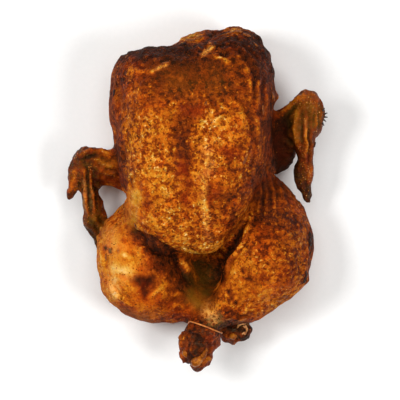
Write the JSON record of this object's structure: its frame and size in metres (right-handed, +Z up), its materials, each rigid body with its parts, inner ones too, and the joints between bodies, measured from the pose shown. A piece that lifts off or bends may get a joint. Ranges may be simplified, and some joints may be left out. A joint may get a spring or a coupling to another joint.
{
  "type": "roast chicken",
  "caption": "Whole roast chicken on its back, breast up: browned, speckled skin, wings hanging at the sides, legs crossed and tied at the hocks with a thin elastic band.",
  "frame": {"origin": "on the table under the bird, at the middle of its outline seen from above", "axes": "+Z up through the breast, +Y towards the neck end, -Y towards the tied hocks, +X towards the side of the leg that lies on top"},
  "size_m": [0.187, 0.2488, 0.0996],
  "materials": {
    "skin": "roasted skin, browned and speckled, satin to glossy with fat",
    "band": "thin elastic band, light tan, greasy"
  },
  "bodies": {
    "root": {"roast_chicken": "skin", "truss_band": "band"}
  },
  "joints": []
}
